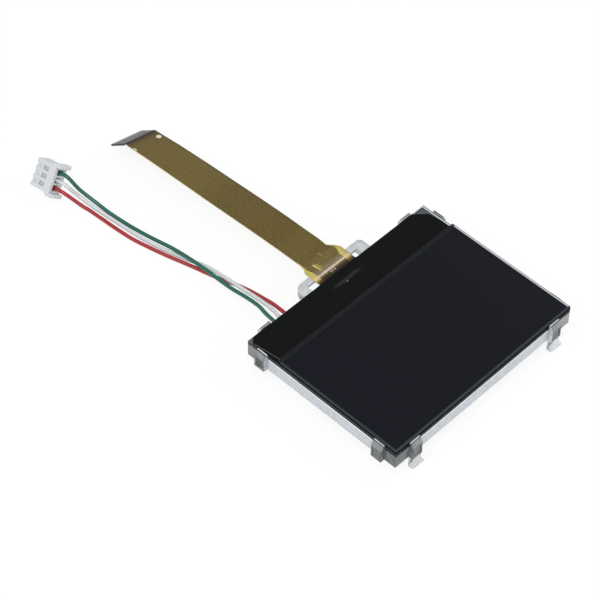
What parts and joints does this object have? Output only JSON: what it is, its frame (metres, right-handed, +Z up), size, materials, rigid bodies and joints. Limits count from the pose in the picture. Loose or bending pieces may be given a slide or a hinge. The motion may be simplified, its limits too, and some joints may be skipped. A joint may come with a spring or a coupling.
{
  "type": "graphic lcd display module",
  "caption": "Small rectangular glass display panel on a clear clip-on light guide, with a long flat flexible circuit tail and a thin wire lead ending in a plug.",
  "frame": {"origin": "centre of the bounding box of everything but the wire lead, at the surface that the snap legs stand on", "axes": "+Z up out of the screen, +Y from the screen towards the end of the flexible circuit, +X along the screen's long side"},
  "size_m": [0.0624, 0.1271, 0.0104],
  "materials": {
    "backlight_housing": "clear moulded light guide plastic",
    "front_reflector": "white reflector film",
    "left_reflector": "white reflector film",
    "right_reflector": "white reflector film",
    "rear_reflector": "white reflector film",
    "diffuser_film": "milky diffuser film",
    "led_board": "green solder mask",
    "leds": "moulded lamp bodies with phosphor faces",
    "solder_joints": "bright solder",
    "light_mask_frame": "black adhesive film",
    "rear_polarizer": "polarizer film",
    "rear_glass": "clear glass",
    "cell_seal": "epoxy seal",
    "liquid_crystal": "liquid crystal layer",
    "front_glass": "clear glass",
    "front_polarizer": "dark polarizer film",
    "driver_chip": "bare silicon",
    "ledge_tape": "black tape",
    "flex_circuit": "polyimide film over dark copper tracks",
    "contact_fingers": "tinned copper contacts",
    "flex_stiffener": "dark stiffener sheet",
    "green_wire": "green insulation",
    "white_wire": "white insulation",
    "red_wire": "red insulation",
    "connector_housing": "white nylon",
    "green_terminal": "tinned phosphor bronze",
    "white_terminal": "tinned phosphor bronze",
    "red_terminal": "tinned phosphor bronze"
  },
  "bodies": {
    "root": {"backlight_housing": "backlight_housing", "front_reflector": "front_reflector", "left_reflector": "left_reflector", "right_reflector": "right_reflector", "rear_reflector": "rear_reflector", "diffuser_film": "diffuser_film", "led_board": "led_board", "leds": "leds", "solder_joints": "solder_joints", "light_mask_frame": "light_mask_frame", "rear_polarizer": "rear_polarizer", "rear_glass": "rear_glass", "cell_seal": "cell_seal", "liquid_crystal": "liquid_crystal", "front_glass": "front_glass", "front_polarizer": "front_polarizer", "driver_chip": "driver_chip", "ledge_tape": "ledge_tape", "flex_circuit": "flex_circuit", "contact_fingers": "contact_fingers", "flex_stiffener": "flex_stiffener", "green_wire": "green_wire", "white_wire": "white_wire", "red_wire": "red_wire", "connector_housing": "connector_housing", "green_terminal": "green_terminal", "white_terminal": "white_terminal", "red_terminal": "red_terminal"}
  },
  "joints": []
}
